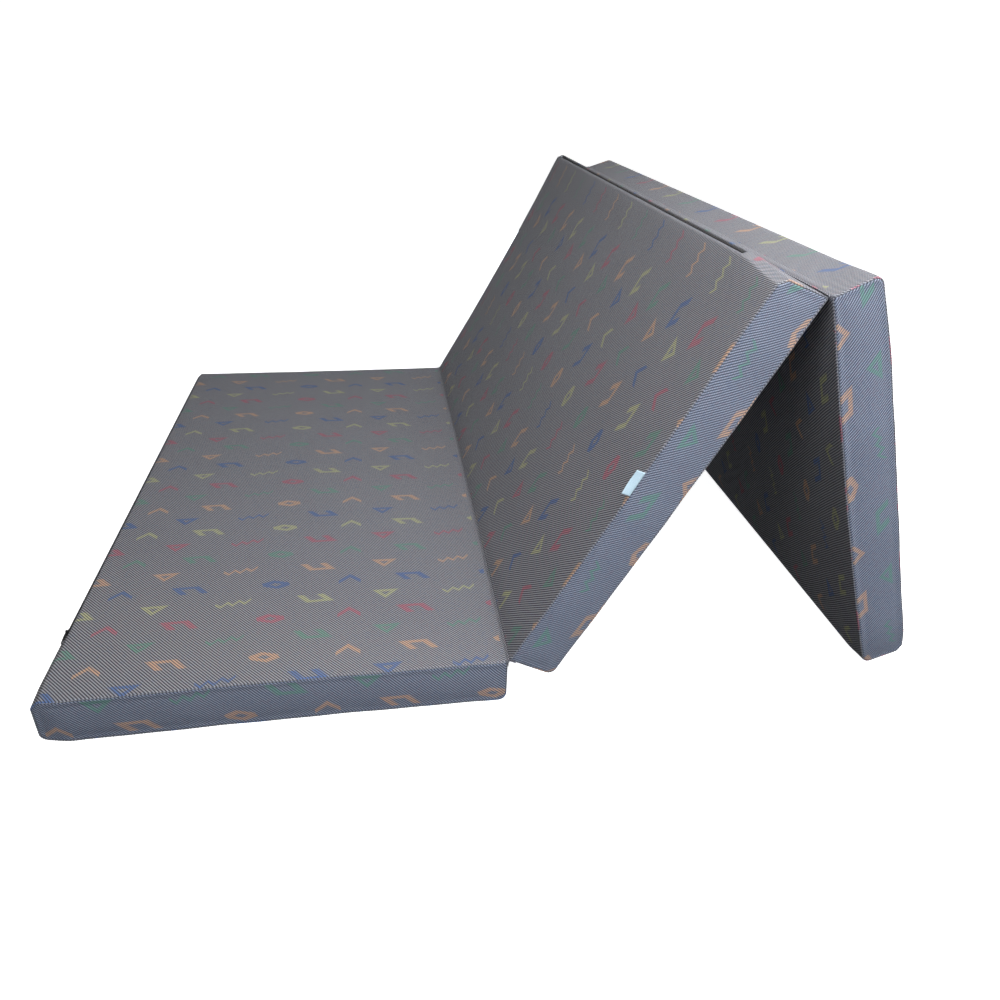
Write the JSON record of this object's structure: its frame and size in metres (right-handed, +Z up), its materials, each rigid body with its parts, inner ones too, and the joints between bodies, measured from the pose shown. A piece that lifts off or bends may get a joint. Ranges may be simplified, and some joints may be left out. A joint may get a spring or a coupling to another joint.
{
  "type": "folding mattress",
  "caption": "Foam guest mattress in zipped fabric covers that folds on sewn hinges along its width, set up as a low bench with a propped backrest.",
  "frame": {"origin": "centre of the flat underside of the section that lies on the floor", "axes": "+X along the opened bed, from the floor section towards the propped ones; +Y across the bed, away from the near side; +Z up"},
  "size_m": [1.3304, 1.2024, 0.6449],
  "materials": {
    "ticking": "matte",
    "side_ticking": "matte",
    "foam": "matte",
    "zip_tape": "matte",
    "zip_coil": "satin",
    "slider": "satin",
    "pull": "satin",
    "thread": "matte",
    "label": "satin"
  },
  "bodies": {
    "floor_section": {"foam_block_1": "foam", "cover_wrap_1": "ticking", "near_side_strip_1": "side_ticking", "far_side_strip_1": "side_ticking", "zip_tape_upper_1": "zip_tape", "zip_tape_lower_1": "zip_tape", "zip_coil_upper_1": "zip_coil", "zip_coil_lower_1": "zip_coil", "fold_seam_1": "ticking", "bar_tack_near_1": "thread", "bar_tack_far_1": "thread"},
    "middle_section": {"foam_block_2": "foam", "cover_wrap_2": "ticking", "near_side_strip_2": "side_ticking", "far_side_strip_2": "side_ticking", "zip_tape_upper_2": "zip_tape", "zip_tape_lower_2": "zip_tape", "zip_coil_upper_2": "zip_coil", "zip_coil_lower_2": "zip_coil", "fold_seam_2": "ticking", "bar_tack_near_2": "thread", "bar_tack_far_2": "thread", "sewn_label": "label"},
    "end_section": {"foam_block_3": "foam", "cover_wrap_3": "ticking", "near_side_strip_3": "side_ticking", "far_side_strip_3": "side_ticking", "zip_tape_upper_3": "zip_tape", "zip_tape_lower_3": "zip_tape", "zip_coil_upper_3": "zip_coil", "zip_coil_lower_3": "zip_coil"},
    "slider_1": {"zip_slider_1": "slider"},
    "slider_2": {"zip_slider_2": "slider"},
    "slider_3": {"zip_slider_3": "slider"},
    "pull_1": {"zip_pull_1": "pull"},
    "pull_2": {"zip_pull_2": "pull"},
    "pull_3": {"zip_pull_3": "pull"}
  },
  "joints": [
    {"name": "fold_1", "type": "hinge", "parent": "floor_section", "child": "middle_section", "pos_m": [0.32575, 0, 0.076], "axis": [0, -1, 0], "range_deg": [-61.5, 116.5]},
    {"name": "fold_2", "type": "hinge", "parent": "middle_section", "child": "end_section", "pos_m": [0.70429, 0, 0.61181], "axis": [0, -1, 0], "range_deg": [-44.3, 132.7]},
    {"name": "slider_1_run", "type": "slide", "parent": "floor_section", "child": "slider_1", "axis": [0, 1, 0], "range_m": [0, 1.009]},
    {"name": "slider_2_run", "type": "slide", "parent": "middle_section", "child": "slider_2", "axis": [0, -1, 0], "range_m": [0, 1.038]},
    {"name": "slider_3_run", "type": "slide", "parent": "end_section", "child": "slider_3", "axis": [0, 1, 0], "range_m": [0, 1.027]},
    {"name": "pull_1_swing", "type": "hinge", "parent": "slider_1", "child": "pull_1", "pos_m": [-0.32162, -0.4465, 0.07162], "axis": [-0.7071, 0, -0.7071], "range_deg": [0, 180]},
    {"name": "pull_2_swing", "type": "hinge", "parent": "slider_2", "child": "pull_2", "pos_m": [0.6385, 0.5625, 0.64283], "axis": [0.9588, 0, 0.284], "range_deg": [0, 180]},
    {"name": "pull_3_swing", "type": "hinge", "parent": "slider_3", "child": "pull_3", "pos_m": [0.98141, -0.4645, 0.02226], "axis": [0.4419, 0, 0.8971], "range_deg": [-85, 85]}
  ]
}
